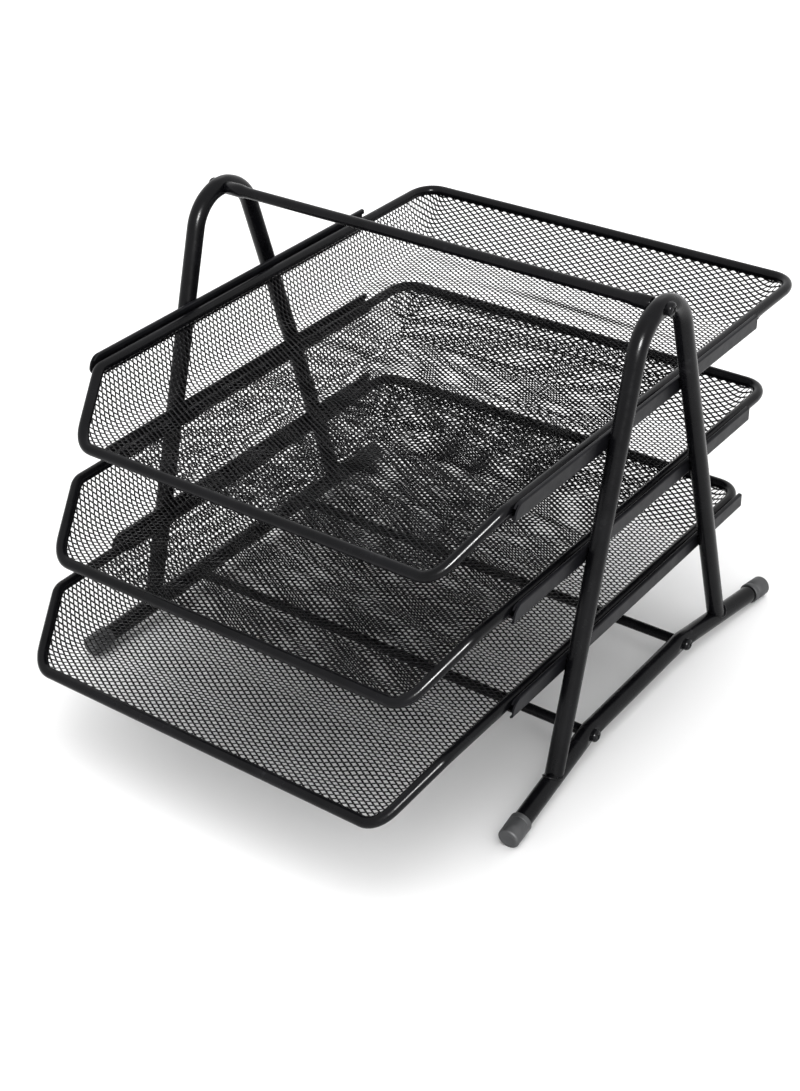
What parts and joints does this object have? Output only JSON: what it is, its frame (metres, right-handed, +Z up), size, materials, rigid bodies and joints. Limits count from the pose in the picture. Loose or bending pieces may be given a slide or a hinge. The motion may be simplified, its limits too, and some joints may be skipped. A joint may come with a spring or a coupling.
{
  "type": "letter tray",
  "caption": "Three-tier desk letter tray: open-fronted mesh trays slide on sheet rails between two A-shaped tube frames with a top carrying bar.",
  "frame": {"origin": "on the desk, in the middle of the footprint of the whole object with its trays staggered as they stand at rest", "axes": "+X to the right of a person facing the open fronts, +Y from the open fronts to the backs, +Z up"},
  "size_m": [0.3002, 0.3886, 0.2473],
  "materials": {
    "frame_coat": "black satin powder coat on round tube and rod",
    "mesh_coat": "black satin powder coat on expanded metal",
    "rail_coat": "black satin powder coat on folded sheet",
    "cap_plastic": "dark grey matte plastic",
    "screw_steel": "black coated steel screw"
  },
  "bodies": {
    "frame": {"left_a_frame_tube": "frame_coat", "right_a_frame_tube": "frame_coat", "left_floor_tube": "frame_coat", "right_floor_tube": "frame_coat", "front_left_end_cap": "cap_plastic", "rear_left_end_cap": "cap_plastic", "front_right_end_cap": "cap_plastic", "rear_right_end_cap": "cap_plastic", "top_handle_bar": "frame_coat", "front_base_bar": "frame_coat", "rear_base_bar": "frame_coat", "apex_screws": "screw_steel", "front_base_screws": "screw_steel", "rear_base_screws": "screw_steel", "bottom_left_rail": "rail_coat", "bottom_right_rail": "rail_coat", "middle_left_rail": "rail_coat", "middle_right_rail": "rail_coat", "top_left_rail": "rail_coat", "top_right_rail": "rail_coat"},
    "bottom_tray": {"bottom_tray_mesh": "mesh_coat", "bottom_tray_rim": "frame_coat"},
    "middle_tray": {"middle_tray_mesh": "mesh_coat", "middle_tray_rim": "frame_coat"},
    "top_tray": {"top_tray_mesh": "mesh_coat", "top_tray_rim": "frame_coat"}
  },
  "joints": [
    {"name": "bottom_tray_slide", "type": "slide", "parent": "frame", "child": "bottom_tray", "axis": [0, -1, 0], "range_m": [-0.0492, 0.0636]},
    {"name": "middle_tray_slide", "type": "slide", "parent": "frame", "child": "middle_tray", "axis": [0, -1, 0], "range_m": [-0.0254, 0.0874]},
    {"name": "top_tray_slide", "type": "slide", "parent": "frame", "child": "top_tray", "axis": [0, -1, 0], "range_m": [0, 0.1128]}
  ]
}
